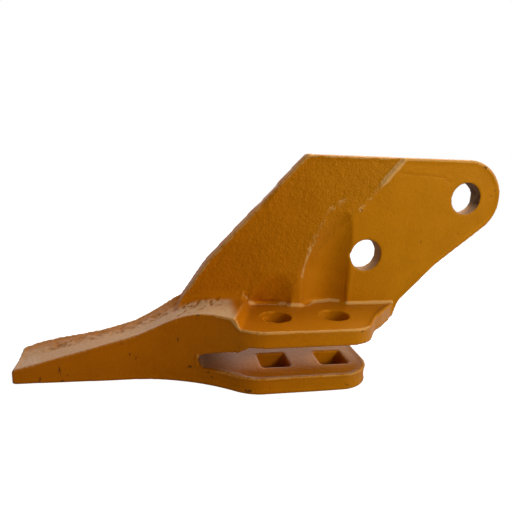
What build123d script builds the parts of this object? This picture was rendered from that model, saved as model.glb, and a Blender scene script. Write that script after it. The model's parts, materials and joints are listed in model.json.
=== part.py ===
from build123d import *
import os
from math import asin, atan2, cos, radians, sin, tan

# Side cutter tooth for a backhoe bucket: one steel casting with a digging tooth, a forked jaw that
# grips the bucket lip, and a bolted wing that covers the side plate. Millimetres, +Z up, +X from the
# tooth tip to the rear, +Y towards the side plate. The origin is midway between the two jaw bolts,
# on the seat where the lip bears against the upper jaw.

# Forked jaw, for a 20 mm lip and two square-neck bolts of 19 mm
bolt_pitch = 41.5
bolt_hole = 21.0
bolt_neck = 20.5
neck_corner = 2.0
relief_reach = 5.5
relief_depth = 4.0
slot_gap = 21.5
upper_jaw = 10.0
lower_jaw = 11.4
jaw_reach = 27.5
jaw_step = 2.0
tail = 42.5
tail_round = 21.0
heel = 76.0
heel_flare = 3.5
heel_corner = 36.5
corner_round = 20.0
heel_scoop = 3.7
heel_round = 10.0

# Closed end of the slot, which narrows to suit the bevel of the lip
slot_end = -73.5
slot_mouth = -42.0
throat_start = -49.0
throat_drop = 5.1
slot_round = 5.1

# Wing: the plate that bolts to the side plate
wing_face = 21.4
wing_thick = 11.6
wing_hole = 23.0
high_hole_x = 125.5
high_hole_z = 90.2
low_hole_x = 50.4
low_hole_z = 47.5
ear_round = 27.5
elbow_reach = 26.5
elbow_round = 60.0
heel_slope = 46.5
heel_rise = 11.6
lead_top = 2.8
lead_slope = 47.7
lead_round = 4.0
knee_x = -66.0
foot_slope = 56.5
foot_x = -92.0

# Blade: the front of the wing, which thins towards its leading edge
blade_face = 17.8
blade_turn = 3.0
blade_rake = 4.2
step_top = 72.7
step_foot_x = 42.4
step_foot_z = 80.7

# Channels in the wing that clear the nuts and their socket
web = 3.5
rear_channel = 22.5
rear_shift = 0.5
rear_bend = 36.0
rear_lean = 0.175
rear_swing = 0.20
front_channel = 17.0
front_shift = -1.0
front_lean = 0.42
front_swing = 0.42

# Tooth and root
tip_x = -190.0
tip_near = 6.5
tip_far = 37.5
tip_height = 8.8
tip_ridge = 3.1
neck_near = 4.3
flare_x = -120.0
flare_radius = 115.0
flare_round = 30.0
spade_offset = 18.0
spade_far = 38.0
spade_slant = -0.1
waist_offset = 52.0
waist_far = 31.8
rise_x = -118.0
rise_ridge = 2.8
tooth_slope = 15.8
crest_x = -61.0
crest_rise = 6.1
crest_ridge = 9.0
wall_x = -41.4
wall_turn = 19.0
wall_lean = 60.0

# Cast fillets
foot_round = 9.0
brow_round = 3.0
base_round = 2.5

# Overrun of the cutting shapes, and the distance within which an edge counts as lying on a plane
overrun = 1.0
tolerance = 0.01

back = wing_face + wing_thick
ground = -(slot_gap + lower_jaw)
crest_z = upper_jaw + crest_rise
crest_height = crest_z - ground
slot_middle = -slot_gap + slot_round
wing_top = high_hole_z + ear_round
bolt_x = bolt_pitch / 2
heel_top = heel + heel_flare
ear_end = high_hole_x + ear_round
spade_x = tip_x + spade_offset
waist_x = tip_x + waist_offset
step_end_z = step_foot_z - rear_channel
far_limit = max(tip_far, spade_far, back) + overrun
near_limit = jaw_reach + overrun
front_limit = foot_x - overrun
rear_limit = ear_end + overrun
top_limit = wing_top + overrun
ridge_start = blade_face - front_limit * tan(radians(blade_turn)) + crest_z * tan(radians(blade_rake))
stock_width = far_limit + near_limit
stock_height = wing_top - ground


def side_plane(y, z=0.0):
    """Upright plane at a distance y from the bolt line, seen from the open side of the jaw."""
    return Plane(origin=(0, y, z), x_dir=(1, 0, 0), z_dir=(0, -1, 0))


def touch_point(start, centre, radius):
    """Point where the line from start that passes the centre on its left touches the circle."""
    away = Vector(*centre) - Vector(*start)
    slope = atan2(away.Y, away.X) - asin(radius / away.length)
    return (centre[0] + radius * sin(slope), centre[1] - radius * cos(slope))


def front_plan(reach, z):
    """Plan of the tooth, its waist and the flare to a jaw that reaches this far from the bolts."""
    drop = reach + neck_near
    run = (flare_radius**2 - (flare_radius - drop) ** 2) ** 0.5
    flare_end = (flare_x + run, -reach)
    with BuildSketch(Plane.XY.offset(z)) as plan:
        with BuildLine():
            Polyline((tip_x, tip_far), (tip_x, tip_near), (flare_x, neck_near))
            TangentArc((flare_x, neck_near), flare_end, tangent=(1, 0))
            Polyline(flare_end, (0, -reach), (0, back), (foot_x, back))
            Spline(
                (foot_x, back), (waist_x, waist_far), (spade_x, spade_far), (tip_x, tip_far),
                tangents=((-1, 0), (-1, spade_slant)),
            )
        make_face()
        fillet(plan.vertices().sort_by_distance((*flare_end, z))[0], flare_round)
    return plan.sketch


def tooth_side(y, ridge_at_tip, ridge_at_rise, ridge_at_crest):
    """Side outline of tooth and root on the plane at y, raised by a ridge above the near edge."""
    taper_top = tip_height + (rise_x - tip_x) * tan(radians(tooth_slope))
    with BuildSketch(side_plane(y, ground)) as side:
        with BuildLine():
            taper = Line((tip_x, tip_height + ridge_at_tip), (rise_x, taper_top + ridge_at_rise))
            crest = Spline(
                taper @ 1, (crest_x, crest_height + ridge_at_crest),
                tangents=(taper % 1, (1, 0)),
            )
            Polyline(
                crest @ 1, (heel, crest_height + ridge_at_crest), (heel, 0), (tip_x, 0), taper @ 0,
            )
        make_face()
    return side.sketch


def lies_on_blade(edge):
    """True for an edge whose middle lies on the face of the blade."""
    return abs(blade_plane.to_local_coords(edge @ 0.5).Z) < tolerance


# Plan of the casting at its two levels: the upper jaw runs back to the heel of the wing
with BuildSketch(Plane.XY.offset(slot_middle)) as upper_plan:
    add(front_plan(jaw_reach, slot_middle))
    with BuildLine():
        corner = (heel_corner, -jaw_reach)
        chord = Vector(heel - heel_corner, wing_face + jaw_reach)
        middle = Vector(*corner) + chord / 2 + chord.rotate(Axis.Z, 90).normalized() * heel_scoop
        ThreePointArc(corner, middle, (heel, wing_face))
        Polyline(
            (heel, wing_face), (ear_end, wing_face), (ear_end, back), (0, back), (0, -jaw_reach), corner,
        )
    make_face()
    fillet(upper_plan.vertices().sort_by_distance((*corner, slot_middle))[0], corner_round)

with BuildSketch(Plane.XY.offset(ground)) as lower_plan:
    lower_reach = jaw_reach - jaw_step
    add(front_plan(lower_reach, ground))
    with BuildLine():
        Polyline((0, -lower_reach), (tail, -lower_reach), (tail, back), (0, back), close=True)
    make_face()
    fillet(lower_plan.vertices().sort_by_distance((tail, -lower_reach, ground))[0], tail_round)

# Slot between the jaws, closed by a round end
floor = ground + lower_jaw
nose = (slot_end + slot_round, floor + slot_round)
with BuildSketch(side_plane(far_limit)) as slot_side:
    with BuildLine():
        throat = touch_point((throat_start, -throat_drop), nose, slot_round)
        Polyline(
            (nose[0], floor), (ear_end, floor), (ear_end, 0), (slot_mouth, 0),
            (throat_start, -throat_drop), throat,
        )
        ThreePointArc(throat, (slot_end, nose[1]), (nose[0], floor))
    make_face()

# Side outline of the wing: its lower edge climbs from the heel and runs into the round of the ear
elbow = (heel_top + elbow_reach, heel_rise + elbow_reach * tan(radians(heel_slope)))
ear_foot = touch_point(elbow, (high_hole_x, high_hole_z), ear_round)
knee_z = wing_top - (lead_top - knee_x) * tan(radians(lead_slope))
foot_z = knee_z - (knee_x - foot_x) * tan(radians(foot_slope))
with BuildSketch(side_plane(far_limit)) as wing_side:
    with BuildLine():
        FilletPolyline(
            (foot_x, foot_z), (knee_x, knee_z), (lead_top, wing_top), (high_hole_x, wing_top),
            radius=[elbow_round, lead_round],
        )
        ThreePointArc((high_hole_x, wing_top), (ear_end, high_hole_z), ear_foot)
        FilletPolyline(
            ear_foot, elbow, (heel_top, heel_rise), (heel, 0), radius=[elbow_round, heel_round],
        )
        Polyline((heel, 0), (heel, ground), (foot_x, ground), (foot_x, foot_z))
    make_face()

# Everything under the crest, carried on over the jaws: level near the viewer, with a ridge beyond
with BuildPart() as root:
    extrude(tooth_side(ridge_start, 0, 0, 0), amount=ridge_start + near_limit)
    loft([
        tooth_side(ridge_start, 0, 0, 0).face(),
        tooth_side(far_limit, tip_ridge, rise_ridge, crest_ridge).face(),
    ])

# Open space in front of the blade and above the crest, with a broad fillet along its foot
blade_normal = (-tan(radians(blade_turn)), -1, tan(radians(blade_rake)))
blade_plane = Plane(origin=(0, blade_face, 0), z_dir=blade_normal)
with BuildPart() as blade_space:
    with BuildSketch(side_plane(far_limit)):
        with BuildLine():
            Polyline(
                (front_limit, ground), (front_limit, top_limit), (step_top, top_limit),
                (step_top, wing_top), (step_foot_x, step_foot_z), (bolt_x, step_end_z),
                (bolt_x, ground), close=True,
            )
        make_face()
    extrude(amount=stock_width)
    split(bisect_by=blade_plane, keep=Keep.TOP)
    add(root.part, mode=Mode.SUBTRACT)
    low_edges = blade_space.edges().filter_by_position(Axis.Z, ground, crest_z + overrun)
    fillet(low_edges.filter_by(lies_on_blade), foot_round)

seat_low = upper_jaw - tolerance
seat_high = upper_jaw + tolerance

# Open space over the nut seats, up to an inclined wall with a rounded brow
turn = radians(wall_turn)
lean = radians(wall_lean)
brow_reach = brow_round * tan(lean / 2)
wall_section = Plane(
    origin=(wall_x, 0, upper_jaw), x_dir=(cos(turn), -sin(turn), 0), z_dir=(-sin(turn), -cos(turn), 0)
)
with BuildPart() as nut_space:
    with BuildSketch(wall_section):
        with BuildLine():
            brow = (-crest_rise / tan(lean), crest_rise)
            brow_foot = (brow[0] + brow_reach * cos(lean), brow[1] - brow_reach * sin(lean))
            Line((0, 0), brow_foot)
            TangentArc(brow_foot, (brow[0] - brow_reach, brow[1]), tangent=(-cos(lean), sin(lean)))
            Polyline(
                (brow[0] - brow_reach, brow[1]), (brow[0] - brow_reach, step_end_z),
                (ear_end, step_end_z), (ear_end, 0), (0, 0),
            )
        make_face()
    extrude(amount=stock_width, both=True)
    split(bisect_by=blade_plane, keep=Keep.TOP)
    seat_edges = nut_space.edges().filter_by_position(Axis.Z, seat_low, seat_high)
    fillet([
        seat_edges.sort_by_distance((wall_x, 0, upper_jaw))[0],
        seat_edges.sort_by_distance((0, blade_face, upper_jaw))[0],
    ], base_round)

# Open space in front of the ear
with BuildPart() as ear_space:
    with BuildSketch(side_plane(wing_face)):
        with BuildLine():
            Polyline(
                (bolt_x, upper_jaw), (rear_limit, upper_jaw), (rear_limit, top_limit),
                (bolt_x, top_limit), close=True,
            )
        make_face()
    extrude(amount=wing_face + near_limit)
    fillet(ear_space.edges().sort_by_distance((heel, wing_face, upper_jaw))[0], base_round)

# Rear channel: upright beside the nut, then leaning out through the face
rear_y = back - web - rear_channel
rear_x = bolt_x + rear_shift
with BuildPart() as rear_space:
    with BuildSketch(Plane.XY.offset(upper_jaw)):
        with Locations((rear_x, rear_y)):
            Circle(rear_channel)
    extrude(amount=rear_bend - upper_jaw)
    fillet(rear_space.edges().filter_by_position(Axis.Z, seat_low, seat_high), base_round)
    leaning = Plane(origin=(rear_x, rear_y, rear_bend), z_dir=(rear_swing, -rear_lean, 1))
    with BuildSketch(leaning.offset(-rear_channel * (rear_lean + rear_swing))):
        Circle(rear_channel)
    extrude(amount=stock_height)

# Front channel: leaning from the seat upwards
front_y = back - web - front_channel
front_x = front_shift - bolt_x
with BuildPart() as front_space:
    leaning = Plane(origin=(front_x, front_y, upper_jaw), z_dir=(front_swing, -front_lean, 1))
    with BuildSketch(leaning):
        Circle(front_channel)
    extrude(amount=stock_height, both=True)
    split(bisect_by=Plane.XY.offset(upper_jaw), keep=Keep.TOP)
    fillet(front_space.edges().filter_by_position(Axis.Z, seat_low, seat_high), base_round)

# Everything that lies within the plan
with BuildPart() as stock:
    extrude(upper_plan.sketch, amount=wing_top - slot_middle)
    extrude(lower_plan.sketch, amount=slot_middle - ground)

# Whole casting: root and wing within the plan, hollowed on the near side, slotted and drilled
with BuildPart() as casting:
    add(root.part)
    extrude(wing_side.sketch, amount=stock_width)
    add(stock.part, mode=Mode.INTERSECT)
    for space in (blade_space, nut_space, ear_space, rear_space, front_space):
        add(space.part, mode=Mode.SUBTRACT)
    extrude(slot_side.sketch, amount=stock_width, mode=Mode.SUBTRACT)
    # Round holes above, one with a lead-in, and square holes below for the bolt necks
    with BuildSketch(Plane.XY):
        with GridLocations(bolt_pitch, 0, 2, 1):
            Circle(bolt_hole / 2)
    extrude(amount=upper_jaw, mode=Mode.SUBTRACT)
    with BuildSketch(Plane.XY.offset(upper_jaw - relief_depth)):
        with Locations((-bolt_x, 0)):
            Circle(bolt_hole / 2)
    extrude(amount=relief_depth, dir=(-relief_reach, 0, relief_depth), mode=Mode.SUBTRACT)
    with BuildSketch(Plane.XY.offset(ground)):
        with GridLocations(bolt_pitch, 0, 2, 1):
            RectangleRounded(bolt_neck, bolt_neck, neck_corner)
    extrude(amount=lower_jaw, mode=Mode.SUBTRACT)
    # Round holes through the wing
    with BuildSketch(side_plane(back)):
        with Locations((low_hole_x, low_hole_z), (high_hole_x, high_hole_z)):
            Circle(wing_hole / 2)
    extrude(amount=back, mode=Mode.SUBTRACT)

casting.part.label = "casting"

os.makedirs("parts", exist_ok=True)
export_step(casting.part, "parts/casting.step")
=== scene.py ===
import json
import math

import bmesh
import bpy
from mathutils import Matrix, Vector, noise


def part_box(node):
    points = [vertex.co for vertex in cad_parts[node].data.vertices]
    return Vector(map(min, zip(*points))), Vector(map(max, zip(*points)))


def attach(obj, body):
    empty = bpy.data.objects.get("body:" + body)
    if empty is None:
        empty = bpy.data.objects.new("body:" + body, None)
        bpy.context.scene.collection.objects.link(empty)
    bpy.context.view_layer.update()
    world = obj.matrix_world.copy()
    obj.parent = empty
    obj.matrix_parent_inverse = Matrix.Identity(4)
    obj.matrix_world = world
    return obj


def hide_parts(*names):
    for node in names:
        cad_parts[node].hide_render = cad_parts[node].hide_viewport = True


bl_info = {
    "name": "Side cutter tooth",
    "version": (1, 0, 0),
    "blender": (4, 5, 0),
    "location": "View3D > Sidebar > Side cutter",
    "description": "Dresses a bucket's side cutter tooth in paint, grain and wear, and lights it",
    "category": "Object",
}

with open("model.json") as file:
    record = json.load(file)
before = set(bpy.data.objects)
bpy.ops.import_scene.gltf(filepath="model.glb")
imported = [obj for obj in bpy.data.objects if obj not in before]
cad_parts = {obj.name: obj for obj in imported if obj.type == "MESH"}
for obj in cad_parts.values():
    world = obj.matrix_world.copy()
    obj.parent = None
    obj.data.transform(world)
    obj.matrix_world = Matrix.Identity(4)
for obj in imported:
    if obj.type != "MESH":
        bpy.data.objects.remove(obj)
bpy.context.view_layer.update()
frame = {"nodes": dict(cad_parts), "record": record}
CASTING = "casting"
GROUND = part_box(CASTING)[0].z
MOUNTS = {mount["name"]: mount for mount in frame["record"]["mounts"]}
MM = 0.001

# Places on the casting, as the model has them, in metres
SEAT_TOP = 10.0 * MM
JAW_FLOOR = -21.5 * MM
JAW_NEAR = -27.5 * MM
WING_FACE = 21.4 * MM
STEP_TOP = Vector((72.7, 21.4, 117.7)) * MM
STEP_FOOT = Vector((42.4, 21.4, 80.7)) * MM
LOW_HOLE = Vector((50.4, 0, 47.5)) * MM
HIGH_HOLE = Vector((125.5, 0, 90.2)) * MM
JAW_BOLTS = MOUNTS["jaw_bolts"]["dims"]
JAW_HOLES = tuple(Vector((side * JAW_BOLTS["spacing_x_mm"] / 2 * MM, 0, 0)) for side in (-1, 1))

# The line across the tooth's top on which the metal lapped over itself
FOLD_BACK = Vector((-94.0, 21.8)) * MM
FOLD_TIP = Vector((-185.0, 29.8)) * MM

# Turn of the surface, in radians per edge, that counts as a sharp corner, and how many times it is averaged
SHARP_TURN = 0.2
SHARP_PASSES = 2
SHARP_GAIN = 1.15

# Share of its depth by which the front channel is filled, how deep that reaches, and the slope of its back
FILL_SHARE = 0.45
FILL_DEPTH = 12 * MM
CHANNEL_SLOPE = 0.07

# How much pale sheen the tooth's top, the root's crest and the lower jaw's top get, painted as a reflection
# of the bright surroundings
TOOTH_SHEEN = 0.27
CREST_SHEEN = 0.42
JAW_SHEEN = 0.10

# Where the lower jaw's top starts to fall to its near edge
CROWN_START = -10 * MM

# How strongly each mark changes the colour: rubbed edges and chips are wear, the drawn lines are rubbed paint
# and painted highlight, and the throat, the pits and the dark line are painted shade
RUBBED_SHARE = 0.42
DRAWN_WEAR_AND_HIGHLIGHT_SHARE = 0.60
CHIP_SHARE = 0.8
THROAT_SHADE_SHARE = 0.8
PIT_SHADE_SHARE = 0.35
SHADOW_LINE_SHARE = 0.45

# Soft lights: name, place and size in metres, and the setting that holds the power
SOFTBOXES = (
    ("key", (0.8, -0.35, 0.3), 0.22, "key_power"),
    ("front", (0.35, -0.6, 0.3), 0.22, "front_power"),
    ("rear", (0.2, 0.15, 0.5), 0.3, "rear_power"),
)

# Radii round a jaw hole between which the floor under it stops looking overexposed
HOLE_FADE = (14 * MM, 20 * MM)

# Camera of the reference view, in metres, with its focal length in pixels of a square frame
CAMERA_PLACE = Vector((-0.0966, -0.2940, 0.1237))
CAMERA_AIM = Vector((0.1960, 0.9531, -0.2307))
CAMERA_RIGHT = Vector((0.9806, -0.1917, 0.0411))
CAMERA_FOCAL = 474.2
FRAME_WIDTH = 512
SENSOR_WIDTH = 36.0

# Point that the soft lights face
LIGHT_AIM = Vector((0.03, 0.0, 0.03))

# Distances over which the floor fades into the backdrop, in metres
FLOOR_FADE = (0.45, 1.1)


class Net:
    """Adds nodes to one node tree and links sockets, or sets values, on their inputs."""

    def __init__(self, tree):
        self.tree = tree

    def add(self, kind, inputs=None, **settings):
        node = self.tree.nodes.new("ShaderNode" + kind)
        for key, value in settings.items():
            setattr(node, key, value)
        for key, value in (inputs or {}).items():
            if isinstance(value, bpy.types.NodeSocket):
                self.tree.links.new(value, node.inputs[key])
            else:
                node.inputs[key].default_value = value
        return node

    def math(self, operation, first, second=0.0, third=0.0, clamp=False):
        node = self.add("Math", {0: first, 1: second, 2: third}, operation=operation, use_clamp=clamp)
        return node.outputs[0]

    def vector(self, operation, first, second=(0, 0, 0)):
        slot = "Scale" if operation == "SCALE" else 1
        node = self.add("VectorMath", {0: first, slot: second}, operation=operation)
        return node.outputs["Value" if operation in ("LENGTH", "DOT_PRODUCT") else "Vector"]

    def noise(self, place, scale, detail=2.0, roughness=0.5):
        inputs = {"Vector": place, "Scale": scale, "Detail": detail, "Roughness": roughness}
        return self.add("TexNoise", inputs).outputs["Fac"]

    def ramp(self, value, low, high):
        """Rises smoothly from 0 to 1 as the value goes from low to high."""
        limits = {"Value": value, "From Min": low, "From Max": high}
        return self.add("MapRange", limits, interpolation_type="SMOOTHSTEP").outputs["Result"]

    def blend(self, amount, first, second):
        """Mix of two colours."""
        node = self.add("Mix", {0: amount, 6: first, 7: second}, data_type="RGBA")
        return node.outputs[2]

    def attribute(self, name):
        return self.add("Attribute", attribute_name=name).outputs["Fac"]


def new_group(name, inputs, outputs):
    """Empty shader node group with these sockets, given as {name: (kind, default)} and {name: kind}."""
    tree = bpy.data.node_groups.new(name, "ShaderNodeTree")
    for label, (kind, default) in inputs.items():
        socket = tree.interface.new_socket(name=label, in_out="INPUT", socket_type="NodeSocket" + kind)
        socket.default_value = default
    for label, kind in outputs.items():
        tree.interface.new_socket(name=label, in_out="OUTPUT", socket_type="NodeSocket" + kind)
    source = tree.nodes.new("NodeGroupInput")
    target = tree.nodes.new("NodeGroupOutput")
    return tree, Net(tree), source.outputs, target.inputs


def cast_grain_group():
    """Sand-cast grain under paint: rounded bumps with finer ones between them."""
    tree, net, source, target = new_group(
        "cast_grain",
        {"Place": ("Vector", (0, 0, 0)), "Grain Size": ("Float", 0.0014), "Coarse": ("Float", 0.3)},
        {"Height": "Float"},
    )
    density = net.math("DIVIDE", 1.0, source["Grain Size"])
    broad = net.noise(source["Place"], density, 1.0, 0.4)
    fine = net.noise(source["Place"], net.math("MULTIPLY", density, 2.6), 2.0, 0.6)
    amount = net.math("MULTIPLY_ADD", source["Coarse"], 0.6, 0.4)
    height = net.math("MULTIPLY", net.math("MULTIPLY_ADD", fine, 0.4, broad), amount)
    tree.links.new(height, target["Height"])
    return tree


def edge_wear_group():
    """Mask of pale marks along what the surface has marked, broken up by grain: paint rubbed thin on the
    edges, and rubbed paint with a painted highlight on the drawn lines.
    """
    tree, net, source, target = new_group(
        "edge_wear",
        {
            "Place": ("Vector", (0, 0, 0)), "Edge": ("Float", 0.0),
            "Amount": ("Float", 0.5), "Onset": ("Float", 0.0),
        },
        {"Mask": "Float"},
    )
    patch = net.noise(source["Place"], 110.0, 2.0, 0.6)
    speck = net.noise(source["Place"], 650.0, 2.0, 0.6)
    broken = net.math("MULTIPLY_ADD", speck, 0.9, net.math("MULTIPLY", patch, 0.9))
    reach = net.math("MULTIPLY_ADD", source["Edge"], 1.1, broken)
    level = net.math("SUBTRACT", 2.1, source["Amount"])
    mask = net.ramp(net.math("SUBTRACT", reach, level), 0.0, 0.4)
    full = net.math("ADD", source["Onset"], 0.4)
    marked = net.ramp(source["Edge"], source["Onset"], full)
    tree.links.new(net.math("MULTIPLY", mask, marked), target["Mask"])
    return tree


def chip_group():
    """Mask of a cluster of ragged flecks where the paint is knocked off."""
    tree, net, source, target = new_group(
        "paint_chip",
        {
            "Place": ("Vector", (0, 0, 0)), "Centre": ("Vector", (0, 0, 0)),
            "Reach": ("Vector", (0.002, 0.002, 0.002)),
        },
        {"Mask": "Float"},
    )
    away = net.vector("DIVIDE", net.vector("SUBTRACT", source["Place"], source["Centre"]), source["Reach"])
    ragged = net.noise(source["Place"], 850.0, 3.0, 0.7)
    edge = net.math("MULTIPLY_ADD", ragged, 3.2, net.math("SUBTRACT", -0.95, net.vector("LENGTH", away)))
    tree.links.new(net.ramp(edge, 0.0, 0.35), target["Mask"])
    return tree


def bore_group():
    """Mask of the wall of a hole that runs along Y."""
    tree, net, source, target = new_group(
        "bore_wall",
        {"Place": ("Vector", (0, 0, 0)), "Centre": ("Vector", (0, 0, 0)), "Radius": ("Float", 0.01)},
        {"Mask": "Float"},
    )
    flat = net.vector("MULTIPLY", net.vector("SUBTRACT", source["Place"], source["Centre"]), (1, 0, 1))
    away = net.vector("LENGTH", flat)
    depth = net.math("SUBTRACT", source["Radius"], away)
    inside = net.ramp(depth, -0.0007, -0.0002)
    tree.links.new(inside, target["Mask"])
    return tree


def use_group(net, tree, inputs):
    """Places a node group in a material and returns its first output."""
    node = net.add("Group", node_tree=tree)
    for key, value in inputs.items():
        if isinstance(value, bpy.types.NodeSocket):
            net.tree.links.new(value, node.inputs[key])
        else:
            node.inputs[key].default_value = value
    return node.outputs[0]


class CASTING_PG_form(bpy.types.PropertyGroup):
    """Sizes of the cast surface."""

    facet: bpy.props.FloatProperty(
        name="Facet", description="Edge length of the surface facets", default=1.0 * MM, unit="LENGTH",
    )
    rounding: bpy.props.IntProperty(
        name="Rounding", description="Smoothing passes that soften the cast edges", default=3, min=0,
    )
    channel_rounding: bpy.props.IntProperty(
        name="Channel rounding", description="Smoothing passes that soften the channels",
        default=40, min=0,
    )
    ledge_rounding: bpy.props.IntProperty(
        name="Ledge rounding", description="Smoothing passes where the rear channel leans back",
        default=110, min=0,
    )
    corner_fill: bpy.props.FloatProperty(
        name="Corner fill", description="How far sharp corners stand out again after smoothing",
        default=0.70 * MM, unit="LENGTH",
    )
    unevenness: bpy.props.FloatProperty(
        name="Unevenness", description="Height of the slow waves in the cast faces",
        default=0.16 * MM, unit="LENGTH",
    )
    blade_grain: bpy.props.FloatProperty(
        name="Blade grain", description="Height of the coarse grain on the blade",
        default=0.26 * MM, unit="LENGTH",
    )
    fold_height: bpy.props.FloatProperty(
        name="Flow folds", description="Height of the lapped folds along the top of the tooth",
        default=1.0 * MM, unit="LENGTH",
    )
    pit_depth: bpy.props.FloatProperty(
        name="Pits", description="Depth of the pits on top of the root",
        default=0.5 * MM, unit="LENGTH",
    )
    jaw_crown: bpy.props.FloatProperty(
        name="Jaw crown", description="How far the top of the lower jaw falls to its near edge",
        default=1.6 * MM, unit="LENGTH",
    )
    heel_swell: bpy.props.FloatProperty(
        name="Heel swell", description="How far the scooped end of the heel stands out",
        default=2.0 * MM, unit="LENGTH",
    )


class CASTING_PG_finish(bpy.types.PropertyGroup):
    """Colours of the paint and of what shows through it."""

    paint: bpy.props.FloatVectorProperty(
        name="Paint", description="Orange-yellow enamel", subtype="COLOR", default=(0.50, 0.180, 0.0022)
    )
    # Painted shade: darker, redder paint towards the tooth, also the colour of the painted shade in the
    # throat, the pits and the pad's outline
    deep_paint: bpy.props.FloatVectorProperty(
        name="Paint in shade", description="Enamel painted darker and redder towards the tooth as shade", subtype="COLOR",
        default=(0.475, 0.126, 0.0010),
    )
    # Rubbed paint on the edges, and the painted highlight on the pale lines
    thin_paint: bpy.props.FloatVectorProperty(
        name="Rubbed paint and highlight", description="Enamel rubbed thin on the edges, and the painted highlight on the pale lines", subtype="COLOR",
        default=(0.72, 0.43, 0.15),
    )
    # Painted sheen: the pale reflection of the bright surroundings on the level tops
    film: bpy.props.FloatVectorProperty(
        name="Sheen", description="Pale reflection painted on the level tops of tooth, root and lower jaw", subtype="COLOR",
        default=(0.86, 0.74, 0.46),
    )
    bare_steel: bpy.props.FloatVectorProperty(
        name="Bare steel", description="Walls of the bolt holes", subtype="COLOR",
        default=(0.36, 0.20, 0.10),
    )
    rust: bpy.props.FloatVectorProperty(
        name="Rust", description="Dark chips and rusty patches", subtype="COLOR",
        default=(0.05, 0.022, 0.009),
    )
    gloss: bpy.props.FloatProperty(
        name="Roughness", description="Roughness of the enamel", default=0.38, min=0, max=1
    )


class CASTING_PG_stage(bpy.types.PropertyGroup):
    """Light and floor."""

    floor: bpy.props.FloatVectorProperty(
        name="Floor", description="Pale studio floor", subtype="COLOR", default=(0.4, 0.4, 0.4)
    )
    floor_lift: bpy.props.FloatProperty(
        name="Floor lift", description="How much brighter the floor looks than it is lit", default=0.93
    )
    backdrop: bpy.props.FloatProperty(
        name="Backdrop", description="Light from the white backdrop", default=0.88
    )
    ceiling: bpy.props.FloatProperty(
        name="Ceiling", description="Light from the ceiling at the right", default=0.25
    )
    room: bpy.props.FloatProperty(
        name="Room", description="Light from the room at the front left", default=0.36
    )
    key_power: bpy.props.FloatProperty(
        name="Key", description="Power of the soft light at the right", default=1.96, unit="POWER"
    )
    front_power: bpy.props.FloatProperty(
        name="Front", description="Power of the soft light at the front", default=2.30, unit="POWER"
    )
    rear_power: bpy.props.FloatProperty(
        name="Rear", description="Power of the soft light over the back", default=2.20, unit="POWER"
    )


def merged_copy(node_name):
    """Bmesh of a model node with its loose triangles joined."""
    form = bmesh.new()
    form.from_mesh(frame["nodes"][node_name].data)
    bmesh.ops.remove_doubles(form, verts=form.verts, dist=0.001 * MM)
    return form


def new_piece(form, name):
    """Object at the origin made of a bmesh, which is freed."""
    mesh = bpy.data.meshes.new(name)
    form.to_mesh(mesh)
    form.free()
    piece = bpy.data.objects.new(name, mesh)
    bpy.context.collection.objects.link(piece)
    return piece


def settle(piece):
    """Turns a piece's modifiers into its mesh."""
    view = bpy.context.evaluated_depsgraph_get()
    shaped = bpy.data.meshes.new_from_object(
        piece.evaluated_get(view), preserve_all_data_layers=True, depsgraph=view
    )
    old = piece.data
    piece.modifiers.clear()
    piece.data = shaped
    bpy.data.meshes.remove(old)
    shaped.name = piece.name


def rise(value, low, high):
    """0 below low, 1 above high, smooth between."""
    share = min(max((value - low) / (high - low), 0.0), 1.0)
    return share * share * (3 - 2 * share)


def within(value, low, high, soft_low, soft_high):
    """1 between low and high, falling smoothly to 0 over the two soft widths outside them, in millimetres."""
    return rise(value, (low - soft_low) * MM, low * MM) * rise(-value, -(high + soft_high) * MM, -high * MM)


def write_mask(piece, name, values):
    """Stores one number per point, which the material reads by name."""
    layer = piece.data.attributes.new(name, "FLOAT", "POINT")
    layer.data.foreach_set("value", values)


def weigh(piece, name, rule):
    """Vertex group whose weights come from a rule on place and normal."""
    group = piece.vertex_groups.new(name=name)
    for vert in piece.data.vertices:
        weight = rule(vert.co, vert.normal)
        if weight > 0:
            group.add([vert.index], weight, "REPLACE")


def edge_sharpness(piece):
    """How far each point stands out along an edge, from 0 on flat faces to 1 on a sharp corner."""
    form = bmesh.new()
    form.from_mesh(piece.data)
    form.verts.ensure_lookup_table()
    turn = [0.0] * len(form.verts)
    for vert in form.verts:
        angles = [edge.calc_face_angle_signed(0.0) for edge in vert.link_edges]
        turn[vert.index] = sum(angles) / len(angles) / SHARP_TURN
    neighbours = [[edge.other_vert(vert).index for edge in vert.link_edges] for vert in form.verts]
    form.free()
    for _ in range(SHARP_PASSES):
        turn = [
            (turn[index] + sum(turn[other] for other in around)) / (1 + len(around))
            for index, around in enumerate(neighbours)
        ]
    return [min(max(SHARP_GAIN * value, 0.0), 1.0) for value in turn]


def edge_rub(place, normal):
    """How much an edge is rubbed: upper edges most, those round the holes least."""
    tooth = 1 - 0.7 * rise(-place.x, 60 * MM, 70 * MM) * rise(-place.y, -16 * MM, -12 * MM)
    heel = 1 - 0.6 * rise(place.x, 34 * MM, 42 * MM) * rise(-place.z, -40 * MM, -20 * MM)
    jaw = 1 - 0.15 * rise(-place.z, 10 * MM, 16 * MM)
    return rise(normal.z, -0.3, 0.2) * hole_quiet(place) * tooth * heel * jaw


def hole_quiet(place):
    """1 away from the bolt holes and low round them, where the edges keep their paint and stay round."""
    jaw = min(math.hypot(place.x - hole.x, place.y) for hole in JAW_HOLES)
    wing = min(math.hypot(place.x - hole.x, place.z - hole.z) for hole in (LOW_HOLE, HIGH_HOLE))
    return 1 - 0.85 * max(rise(-jaw, -18 * MM, -15 * MM), rise(-wing, -16 * MM, -14 * MM))


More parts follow.
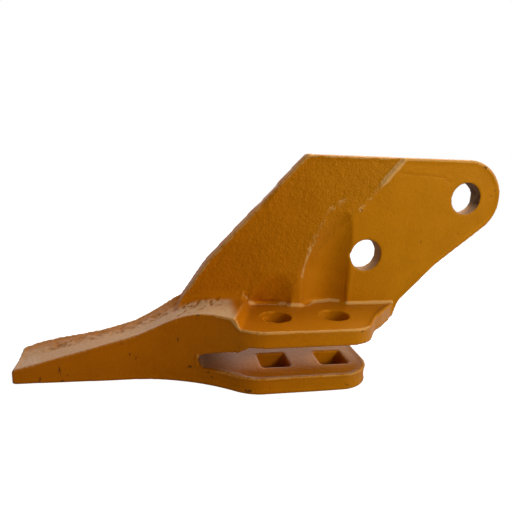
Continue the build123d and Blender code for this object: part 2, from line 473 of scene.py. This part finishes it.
def channel_rule(place, normal):
    """The channels and their left rims, softer than the right rim of the rear one."""
    crisp_right = 1 - 0.85 * rise(place.x, 24 * MM, 33 * MM)
    along = within(place.x, -26, 37, 8, 4) * crisp_right
    return along * within(place.y, 17, 32, 5, 2) * within(place.z, 17, 92, 4, 8)


def ledge_rule(place, normal):
    """The ledge across the rear channel, where it leans back."""
    height = within(place.z, 30, 42, 8, 8)
    return channel_rule(place, normal) * height * rise(place.x, -2 * MM, 4 * MM)


def fill_front_channel(piece):
    """Makes the front channel shallower, so that its back stands nearly upright."""
    facing_away = [vert.normal.y >= 0.2 for vert in piece.data.vertices]
    for vert, away in zip(piece.data.vertices, facing_away):
        place = vert.co
        deep = place.y - (WING_FACE - CHANNEL_SLOPE * (place.z - SEAT_TOP))
        if 0 < deep < FILL_DEPTH and not away:
            along = within(place.x, -22, -6, 16, 4)
            place.y -= FILL_SHARE * deep * along * within(place.z, 15, 34, 6, 8)
    piece.data.update()


def step_distance(place):
    """Distance ahead of the step line on the wing's near face, negative behind it."""
    step = (STEP_TOP - STEP_FOOT).normalized()
    return (place.z - STEP_FOOT.z) * step.x - (place.x - STEP_FOOT.x) * step.z


def blade_rule(place, normal):
    """The rough near face of the blade, ahead of the step line and above the tooth."""
    facing = rise(-normal.y, 0.8, 0.97)
    upper = rise(place.z, 12 * MM, 20 * MM) * rise(place.y, 14 * MM, 17 * MM)
    return facing * rise(step_distance(place), 0.0, 1.5 * MM) * upper


def crest_rule(place, normal):
    """The pitted top of the root, in front of the nut seats."""
    return rise(normal.z, 0.6, 0.85) * within(place.x, -92, -54, 20, 8) * within(place.z, 6, 20, 6, 4)


def tooth_rule(place, normal):
    """The top of the tooth."""
    return rise(normal.z, 0.6, 0.85) * rise(-place.x, 78 * MM, 96 * MM)


def fold_offset(place):
    """Distance behind the fold line, negative in front of it."""
    share = (place.x - FOLD_BACK.x) / (FOLD_TIP.x - FOLD_BACK.x)
    return place.y - (FOLD_BACK.y + share * (FOLD_TIP.y - FOLD_BACK.y))


def film_amount(place, normal):
    """Strength of the painted sheen, a pale reflection painted on the tooth's near strip, the root's crest
    and the far part of the lower jaw's top.
    """
    wander = 2.5 * MM * noise.noise(place / (9 * MM))
    near_strip = 1 - 0.5 * rise(fold_offset(place) + wander, -1.0 * MM, 1.5 * MM)
    level = rise(normal.z, 0.80, 0.97)
    tooth = TOOTH_SHEEN * tooth_rule(place, normal) * near_strip
    crest = CREST_SHEEN * crest_rule(place, normal) * level
    jaw = JAW_SHEEN * jaw_top(place, normal) * rise(place.y, -14 * MM, 8 * MM)
    return max(tooth, crest, jaw)


def grain_height(place, normal):
    """Orange-peel grain of the blade, drawn out along the step line."""
    lean = (STEP_TOP - STEP_FOOT).normalized()
    along = place.dot(lean)
    across = place - along * lean
    coarse = noise.noise(across / (2.1 * MM) + along / (4.2 * MM) * lean)
    fine = noise.noise(place / (1.6 * MM))
    wing_face = rise(-normal.y, 0.8, 0.97) * rise(place.y, 14 * MM, 17 * MM)
    return (0.3 * wing_face + 0.7 * blade_rule(place, normal)) * (coarse + 0.6 * fine)


def fold_band(place, normal):
    """The strip along the fold line in which the metal is lapped."""
    band = rise(-abs(fold_offset(place) + 1.0 * MM), -7 * MM, -1 * MM)
    return tooth_rule(place, normal) * rise(place.x, -184 * MM, -164 * MM) * band


def fold_relief(place, normal):
    """Lapped folds on the tooth's top, strongest along the fold line."""
    stretched = Vector((place.x / (8.0 * MM), place.y / (3.0 * MM), place.z / (3.0 * MM)))
    return fold_band(place, normal) * (0.55 - 2.4 * abs(noise.noise(stretched)))


def pit_amount(place, normal):
    """Pits on the root's crest, near the foot of the blade, and in the folds of the tooth."""
    spot = noise.noise(Vector((place.x / (2.7 * MM), place.y / (2.3 * MM), place.z / (2.3 * MM))))
    field = rise(place.y, -2 * MM, 6 * MM) * within(place.x, -84, -60, 10, 8)
    crest = field * crest_rule(place, normal)
    return max(crest, 0.7 * fold_band(place, normal)) * rise(spot, 0.10, 0.42)


def pit_relief(place, normal):
    """Depth of the pits."""
    return -pit_amount(place, normal)


def heel_relief(place, normal):
    """The scooped end of the upper jaw, fuller than the solid has it."""
    end = rise(normal.x, 0.2, 0.6) * rise(place.x, 45 * MM, 52 * MM) * rise(place.z, -2 * MM, 1 * MM)
    return end * within(place.y, 4, 12, 12, 9)


def throat_depth(place, normal):
    """How deep in the round end of the slot a point lies, where little light comes; the material paints shade
    there.
    """
    height = within(place.z, -21.8, -9, 0.7, 2)
    return height * within(place.x, -75, -72, 3, 32) * rise(max(normal.z, normal.x), 0.2, 0.5)


def jaw_top(place, normal):
    """The smooth top of the lower jaw."""
    return rise(normal.z, 0.7, 0.95) * rise(-abs(place.z - JAW_FLOOR), -1.8 * MM, -1.0 * MM)


def crown_relief(place, normal):
    """The lower jaw's top, which falls gently to its near edge."""
    fall = min(max((CROWN_START - place.y) / (CROWN_START - JAW_NEAR), 0.0), 1.0)
    return -jaw_top(place, normal) * fall * fall


# Lines left by the mould and by rubbing, in millimetres: points, half width, paleness and height. Besides
# rubbed paint, the pale lines paint highlights, and a negative paleness paints a shadow
STROKES = (
    # The step line: a raised ridge with rubbed paint and a painted highlight on it
    (((42.4, 21.4, 80.7), (57.5, 21.4, 99.0), (72.7, 21.4, 117.7)), 3.4, 0.72, 0.25),
    (((60.0, 21.4, 102.0), (73.5, 21.4, 118.5)), 4.6, 0.45, 0.0),
    # The rear channel's left rim, in two pieces: rubbed paint and a painted highlight
    (
        ((3.6, 20.6, 33.0), (7.2, 21.2, 51.6), (12.4, 22.0, 65.9), (20.4, 22.6, 80.2), (31.0, 22.6, 87.4)),
        4.2, 0.62, 0.0,
    ),
    (((3.0, 20.6, 28.0), (4.6, 20.8, 40.0), (7.2, 21.2, 51.6)), 3.0, 0.25, 0.0),
    # The pad's outline: pressed in, with a painted shadow along it
    (
        ((70.9, 21.4, 107.5), (93.8, 21.4, 106.1), (105.0, 21.4, 105.6), (110.4, 21.4, 102.2)),
        0.9, -0.6, -0.30,
    ),
    # The fillets along the foot of the wing and of the blade: painted highlights
    (((-33.9, 25.3, 11.5), (-22.0, 25.5, 11.2), (-8.4, 22.7, 11.2)), 2.8, 1.1, 0.0),
    (((-6.5, 19.5, 11.4), (1.6, 18.6, 11.4), (8.9, 20.5, 11.2)), 2.6, 1.1, 0.0),
    (((9.5, 21.5, 11.0), (16.0, 27.4, 10.6), (28.0, 28.3, 11.2), (33.4, 25.8, 11.2)), 2.6, 1.1, 0.0),
    (((38.5, 20.8, 11.0), (74.5, 20.8, 11.0)), 2.6, 1.1, 0.0),
    (((-41.5, 19.0, 22.0), (-37.1, 21.0, 16.8), (-33.5, 25.0, 11.5)), 1.8, 1.0, 0.0),
    # The wall's near edge and the rim of the slot's round end: rubbed paint and a painted highlight
    (((-54.0, -15.5, 16.1), (-49.7, -19.7, 11.0)), 1.6, 1.1, 0.0),
    (((-73.3, -5.6, -12.0), (-73.0, -5.0, -17.5), (-69.8, -4.6, -21.5)), 1.6, 0.8, 0.0),
)


def stroke_nearness(place, points, half_width):
    """1 on a broken line through the points, 0 further than its half width."""
    nearest = half_width
    for start, end in zip(points, points[1:]):
        run = end - start
        share = min(max((place - start).dot(run) / run.length_squared, 0.0), 1.0)
        nearest = min(nearest, (place - start - share * run).length)
    return 1 - nearest / half_width


def draw_strokes(piece):
    """Paleness and height that the drawn lines give each point."""
    pale = [0.0] * len(piece.data.vertices)
    lift = [0.0] * len(piece.data.vertices)
    for points, half_width, paleness, height in STROKES:
        points = [Vector(point) * MM for point in points]
        half_width *= MM
        low = [min(point[axis] for point in points) - half_width for axis in range(3)]
        high = [max(point[axis] for point in points) + half_width for axis in range(3)]
        for vert in piece.data.vertices:
            place = vert.co
            if all(low[axis] < place[axis] < high[axis] for axis in range(3)):
                near = rise(stroke_nearness(place, points, half_width), 0.0, 0.7)
                pale[vert.index] += paleness * near
                lift[vert.index] += height * MM * near * (0.7 + noise.noise(place / (2.5 * MM)))
    return pale, lift


def raise_surface(piece, form_settings, lift):
    """Moves each point along its normal by its own lift and the relief of the cast surface."""
    reliefs = (
        (lambda place, normal: noise.noise(place / (22 * MM)), form_settings.unevenness),
        (grain_height, form_settings.blade_grain),
        (fold_relief, form_settings.fold_height),
        (pit_relief, form_settings.pit_depth),
        (crown_relief, form_settings.jaw_crown),
        (heel_relief, form_settings.heel_swell),
    )
    points = [(vert.co.copy(), vert.normal.copy()) for vert in piece.data.vertices]
    for vert, (place, normal), drawn in zip(piece.data.vertices, points, lift):
        vert.co += normal * (drawn + sum(height * relief(place, normal) for relief, height in reliefs))
    piece.data.update()


# Marks that the material reads by name, with the rules that give them
MARKS = (
    ("blade", blade_rule), ("pit", pit_amount), ("jaw_top", jaw_top), ("throat", throat_depth),
    ("film", film_amount),
)


def smooth(piece, passes, rule=None):
    """Softens a piece, everywhere or by the weights of a rule."""
    soften = piece.modifiers.new("soften", "SMOOTH")
    soften.factor = 0.5
    soften.iterations = passes
    if rule:
        weigh(piece, rule.__name__, rule)
        soften.vertex_group = rule.__name__
    settle(piece)


def cast_skin(form_settings):
    """The casting's surface: fine even facets with softened edges, marked and made uneven."""
    piece = new_piece(merged_copy(CASTING), "casting_skin")
    facets = piece.modifiers.new("facets", "REMESH")
    facets.mode = "VOXEL"
    facets.voxel_size = form_settings.facet
    smooth(piece, form_settings.rounding)
    fill_front_channel(piece)
    smooth(piece, form_settings.channel_rounding, channel_rule)
    smooth(piece, form_settings.ledge_rounding, ledge_rule)
    verts = piece.data.vertices
    sharp = edge_sharpness(piece)
    pale, lift = draw_strokes(piece)
    lift = [
        drawn + value * hole_quiet(vert.co) * form_settings.corner_fill
        for drawn, value, vert in zip(lift, sharp, verts)
    ]
    rubs = [value * edge_rub(vert.co, vert.normal) for value, vert in zip(sharp, verts)]
    write_mask(piece, "edge", rubs)
    write_mask(piece, "stroke", pale)
    for name, rule in MARKS:
        write_mask(piece, name, [rule(vert.co, vert.normal) for vert in verts])
    raise_surface(piece, form_settings, lift)
    for polygon in piece.data.polygons:
        polygon.use_smooth = True
    return piece


# Knocked spots: centre and reach along each axis, in millimetres
CHIPS = (
    ((-161.5, 5.6, -24.5), (1.6, 3.0, 4.6)),
    ((-160.0, 5.6, -31.5), (2.0, 3.0, 1.6)),
    ((-156.8, 5.5, -28.0), (1.0, 2.0, 1.4)),
    ((-173.7, 6.0, -30.0), (1.6, 2.0, 1.6)),
    ((-173.0, 6.0, -32.8), (4.4, 3.0, 0.9)),
    ((-117.1, 4.2, -14.6), (1.0, 2.0, 1.5)),
    ((-113.6, 4.1, -17.6), (1.2, 2.0, 2.0)),
    ((-122.0, 4.4, -6.8), (1.7, 2.0, 1.1)),
    ((-86.1, -0.8, -3.6), (1.3, 2.0, 2.4)),
    ((-78.3, -3.6, -21.6), (2.6, 2.6, 1.6)),
    ((-66.8, -8.8, -23.6), (1.3, 2.0, 1.2)),
    ((-64.3, -10.1, -26.9), (1.4, 2.0, 1.0)),
    ((-42.5, -23.6, -30.8), (3.4, 3.4, 1.6)),
    ((24.0, -25.3, -29.5), (2.2, 2.6, 1.3)),
    ((30.6, -26.6, 8.6), (1.6, 2.0, 1.5)),
    ((24.9, 29.5, 35.2), (1.0, 2.0, 1.0)),
    ((93.1, 21.4, 57.4), (0.7, 1.5, 1.2)),
    ((122.9, 21.4, 63.6), (0.7, 1.5, 0.9)),
    ((145.9, 21.4, 92.7), (1.0, 1.5, 1.0)),
    ((148.6, 21.4, 97.0), (0.8, 1.5, 1.8)),
    ((137.6, 21.0, 113.4), (2.6, 2.0, 1.6)),
    ((43.6, 21.4, 80.6), (1.3, 1.5, 1.9)),
    ((-73.5, -5.4, 14.6), (2.2, 1.6, 1.0)),
    ((-110.8, 3.6, -2.0), (1.6, 1.5, 1.0)),
)


def paint_material(finish):
    """Orange-yellow enamel on a rough casting, with rubbed edges, chips and bare bolt holes, and with painted
    shade, painted sheen and painted highlights.
    """
    material = bpy.data.materials.new("yellow_paint")
    material.use_nodes = True
    net = Net(material.node_tree)
    shader = material.node_tree.nodes["Principled BSDF"]
    place = net.add("TexCoord").outputs["Object"]
    grain = cast_grain_group()
    wear = edge_wear_group()
    chip = chip_group()
    bore = bore_group()

    blade = net.attribute("blade")
    film = net.attribute("film")
    stroke = net.attribute("stroke")
    throat = net.attribute("throat")
    pit = net.attribute("pit")
    edge = net.attribute("edge")

    rough = net.math("MAXIMUM", blade, net.math("MULTIPLY", film, 2.2, clamp=True))
    fine_height = use_group(net, grain, {"Place": place, "Grain Size": 1.5 * MM, "Coarse": rough})
    rubbed = use_group(net, wear, {"Place": place, "Edge": edge, "Amount": 0.50, "Onset": 0.5})
    drawn = use_group(net, wear, {"Place": place, "Edge": stroke, "Amount": 0.60, "Onset": 0.0})

    chipped = 0.0
    for centre, reach in CHIPS:
        where = {"Place": place, "Centre": Vector(centre) * MM, "Reach": Vector(reach) * MM}
        spot = use_group(net, chip, where)
        chipped = net.math("MAXIMUM", spot, chipped)

    hole_radius = MOUNTS["wing_bolts"]["dims"]["hole_r_mm"] * MM
    low_bore = use_group(net, bore, {"Place": place, "Centre": LOW_HOLE, "Radius": hole_radius})
    high_bore = use_group(net, bore, {"Place": place, "Centre": HIGH_HOLE, "Radius": hole_radius})
    bare = net.math("MAXIMUM", net.math("MULTIPLY", low_bore, 0.6), high_bore)

    def shade(colour, factor):
        return (*(channel * factor for channel in colour), 1)

    def shaded(colour, factor):
        return net.vector("SCALE", colour, factor)

    mottle = net.noise(place, 45.0, 3.0, 0.6)
    speckle = net.noise(place, 520.0, 2.0, 0.5)
    tone = net.math("MULTIPLY_ADD", speckle, 0.35, net.math("MULTIPLY", mottle, 0.65))
    # Painted shade: the paint turns darker and redder towards the tooth, standing for the shade there, and
    # the blade is painted darker as it turns from the light
    along = net.add("SeparateXYZ", {0: place}).outputs["X"]
    rearward = net.ramp(along, -0.10, 0.09)
    coat = net.blend(rearward, shade(finish.deep_paint, 1.0), shade(finish.paint, 1.0))
    coat = shaded(coat, net.math("MULTIPLY_ADD", blade, -0.10, 1.0))
    colour = net.blend(net.ramp(tone, 0.3, 0.7), shaded(coat, 0.92), shaded(coat, 1.06))
    # Painted shade: deep in the slot's round end and in the pits the colour goes to a dark shaded paint
    in_throat = net.math("MULTIPLY", throat, THROAT_SHADE_SHARE)
    shadowed = net.math("MAXIMUM", in_throat, net.math("MULTIPLY", pit, PIT_SHADE_SHARE))
    colour = net.blend(shadowed, colour, shade(finish.deep_paint, 0.28))
    # Painted sheen: a pale reflection of the bright surroundings on the level tops, left out of the pits
    sheen_share = net.math("MULTIPLY", film, net.math("MULTIPLY_ADD", speckle, 0.9, 0.55))
    sheen_share = net.math("MULTIPLY", sheen_share, net.math("SUBTRACT", 1.0, pit))
    colour = net.blend(sheen_share, colour, shade(finish.film, 1.0))
    # Pale lines: rubbed paint on the edges, and rubbed paint with a painted highlight on the drawn lines
    rubbed = net.math("MULTIPLY", rubbed, RUBBED_SHARE)
    thin = net.math("MAXIMUM", rubbed, net.math("MULTIPLY", drawn, DRAWN_WEAR_AND_HIGHLIGHT_SHARE))
    colour = net.blend(thin, colour, shade(finish.thin_paint, 1.0))
    # Painted shadow along the pad's pressed-in outline
    shadow_line = net.math("MULTIPLY", stroke, -SHADOW_LINE_SHARE, clamp=True)
    colour = net.blend(shadow_line, colour, shade(finish.deep_paint, 0.6))
    # The bore walls are painted lit and shaded: bright bare steel where the wall faces up, dark steel with
    # rust stains where it faces down
    stain = net.ramp(net.noise(place, 190.0, 3.0, 0.6), 0.44, 0.60)
    normal = net.add("NewGeometry").outputs["Normal"]
    facing_up = net.ramp(net.add("SeparateXYZ", {0: normal}).outputs["Z"], 0.25, 0.75)
    rusty = net.blend(stain, shade(finish.bare_steel, 0.4), shade(finish.rust, 1.8))
    steel = net.blend(facing_up, rusty, shade(finish.bare_steel, 1.5))
    colour = net.blend(bare, colour, steel)
    colour = net.blend(net.math("MULTIPLY", chipped, CHIP_SHARE), colour, shade(finish.rust, 1.0))

    roughness = net.math("MULTIPLY_ADD", net.noise(place, 90.0, 2.0, 0.5), 0.16, finish.gloss - 0.08)
    roughness = net.math("MULTIPLY_ADD", net.math("MAXIMUM", bare, chipped), 0.3, roughness)
    roughness = net.math("MULTIPLY_ADD", throat, 0.5, roughness)
    roughness = net.math("MULTIPLY_ADD", net.attribute("jaw_top"), -0.14, roughness)

    bump = net.add("Bump", {"Strength": 0.9, "Distance": 0.5 * MM, "Height": fine_height})
    shader.inputs["Specular IOR Level"].default_value = 0.4
    shader.inputs["Specular Tint"].default_value = (1.0, 0.4, 0.02, 1)
    links = material.node_tree.links
    links.new(colour, shader.inputs["Base Color"])
    links.new(roughness, shader.inputs["Roughness"])
    links.new(bump.outputs["Normal"], shader.inputs["Normal"])
    return material


def floor_material(stage):
    """Matt pale floor that looks overexposed, as on a product photo, and fades into the backdrop."""
    material = bpy.data.materials.new("studio_floor")
    material.use_nodes = True
    net = Net(material.node_tree)
    shader = material.node_tree.nodes["Principled BSDF"]
    shader.inputs["Base Color"].default_value = (*stage.floor, 1)
    shader.inputs["Roughness"].default_value = 0.9
    shader.inputs["Specular IOR Level"].default_value = 0.0
    shader.inputs["Emission Color"].default_value = (1, 1, 1, 1)
    seen = net.add("LightPath").outputs["Is Camera Ray"]
    place = net.add("TexCoord").outputs["Object"]
    flat = net.vector("MULTIPLY", place, (1, 1, 0))
    open_floor = 1.0
    for hole in JAW_HOLES:
        off_hole = net.vector("LENGTH", net.vector("SUBTRACT", flat, hole))
        open_floor = net.math("MULTIPLY", open_floor, net.ramp(off_hole, *HOLE_FADE))
    lift = net.math("MULTIPLY", net.math("MULTIPLY", seen, open_floor), stage.floor_lift)
    material.node_tree.links.new(lift, shader.inputs["Emission Strength"])
    away = net.vector("LENGTH", place)
    faded = net.ramp(away, *FLOOR_FADE)
    material.node_tree.links.new(net.math("SUBTRACT", 1.0, faded), shader.inputs["Alpha"])
    return material


def add_floor(stage):
    """Wide level floor that the casting stands on."""
    form = bmesh.new()
    bmesh.ops.create_circle(form, cap_ends=True, segments=64, radius=FLOOR_FADE[1])
    bmesh.ops.translate(form, verts=form.verts, vec=(0, 0, GROUND))
    piece = new_piece(form, "studio_floor")
    piece.data.materials.append(floor_material(stage))


def add_softbox(name, place, size, power):
    """Square soft light that faces the jaw."""
    lamp = bpy.data.lights.new(name, "AREA")
    lamp.size = size
    lamp.energy = power
    holder = bpy.data.objects.new(name, lamp)
    bpy.context.collection.objects.link(holder)
    holder.location = place
    holder.rotation_euler = (LIGHT_AIM - Vector(place)).to_track_quat("-Z", "Y").to_euler()


def add_surround(stage):
    """White backdrop behind the casting and a dim room elsewhere, seen as plain white all round."""
    world = bpy.data.worlds.new("surround")
    world.use_nodes = True
    net = Net(world.node_tree)
    seen = net.add("LightPath").outputs["Is Camera Ray"]
    towards = net.add("SeparateXYZ", {0: net.add("TexCoord").outputs["Generated"]}).outputs
    behind = net.math("MULTIPLY", net.ramp(towards["Y"], -0.05, 0.25), net.ramp(towards["Z"], 0.75, 0.45))
    above = net.math("MULTIPLY", net.ramp(towards["X"], -0.15, 0.15), net.ramp(towards["Z"], 0.35, 0.65))
    front = net.math("MULTIPLY", net.ramp(towards["Y"], 0.25, -0.05), net.ramp(towards["Z"], 0.65, 0.35))
    front = net.math("MULTIPLY", front, net.ramp(towards["X"], 0.15, -0.15))
    lit = net.math("MULTIPLY_ADD", behind, stage.backdrop, net.math("MULTIPLY", above, stage.ceiling))
    lit = net.math("MULTIPLY_ADD", front, stage.room, lit)
    level = net.math("MAXIMUM", seen, lit)
    background = world.node_tree.nodes["Background"]
    background.inputs["Color"].default_value = (1, 1, 1, 1)
    world.node_tree.links.new(level, background.inputs["Strength"])
    bpy.context.scene.world = world


def add_camera():
    """Camera at the reference view."""
    right = CAMERA_RIGHT.normalized()
    aim = CAMERA_AIM.normalized()
    up = right.cross(aim).normalized()
    lens = bpy.data.cameras.new("reference_view")
    lens.sensor_width = SENSOR_WIDTH
    lens.lens = SENSOR_WIDTH * CAMERA_FOCAL / FRAME_WIDTH
    lens.clip_start = 0.01
    camera = bpy.data.objects.new("reference_view", lens)
    bpy.context.collection.objects.link(camera)
    camera.matrix_world = Matrix.Translation(CAMERA_PLACE) @ Matrix((right, up, -aim)).transposed().to_4x4()
    bpy.context.scene.camera = camera


class CASTING_OT_add_skin(bpy.types.Operator):
    """Build the painted casting over its solid"""

    bl_idname = "side_cutter.add_casting"
    bl_label = "Add casting"

    def execute(self, context):
        scene = context.scene
        piece = cast_skin(scene.casting_form)
        piece.data.materials.clear()
        piece.data.materials.append(paint_material(scene.casting_finish))
        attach(piece, "root")
        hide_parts(CASTING)
        return {"FINISHED"}


class CASTING_OT_set_stage(bpy.types.Operator):
    """Set the floor, lights and camera"""

    bl_idname = "side_cutter.set_stage"
    bl_label = "Set stage"

    def execute(self, context):
        stage = context.scene.casting_stage
        add_floor(stage)
        add_surround(stage)
        for name, place, size, power in SOFTBOXES:
            add_softbox(name, place, size, getattr(stage, power))
        add_camera()
        context.scene.view_settings.view_transform = "Standard"
        return {"FINISHED"}


class CASTING_PT_sidebar(bpy.types.Panel):
    """Lists the casting and its stage"""

    bl_label = "Side cutter"
    bl_idname = "CASTING_PT_sidebar"
    bl_space_type = "VIEW_3D"
    bl_region_type = "UI"
    bl_category = "Side cutter"

    def draw(self, context):
        scene = context.scene
        for settings in (scene.casting_form, scene.casting_finish, scene.casting_stage):
            box = self.layout.box()
            for key in settings.__annotations__:
                box.prop(settings, key)
        self.layout.operator(CASTING_OT_add_skin.bl_idname)
        self.layout.operator(CASTING_OT_set_stage.bl_idname)


CLASSES = (
    CASTING_PG_form,
    CASTING_PG_finish,
    CASTING_PG_stage,
    CASTING_OT_add_skin,
    CASTING_OT_set_stage,
    CASTING_PT_sidebar,
)


def register():
    for entry in CLASSES:
        bpy.utils.register_class(entry)
    bpy.types.Scene.casting_form = bpy.props.PointerProperty(type=CASTING_PG_form)
    bpy.types.Scene.casting_finish = bpy.props.PointerProperty(type=CASTING_PG_finish)
    bpy.types.Scene.casting_stage = bpy.props.PointerProperty(type=CASTING_PG_stage)


def unregister():
    del bpy.types.Scene.casting_form
    del bpy.types.Scene.casting_finish
    del bpy.types.Scene.casting_stage
    for entry in reversed(CLASSES):
        bpy.utils.unregister_class(entry)


def main():
    register()
    bpy.ops.side_cutter.add_casting()
    bpy.ops.side_cutter.set_stage()


if __name__ == "__main__":
    main()
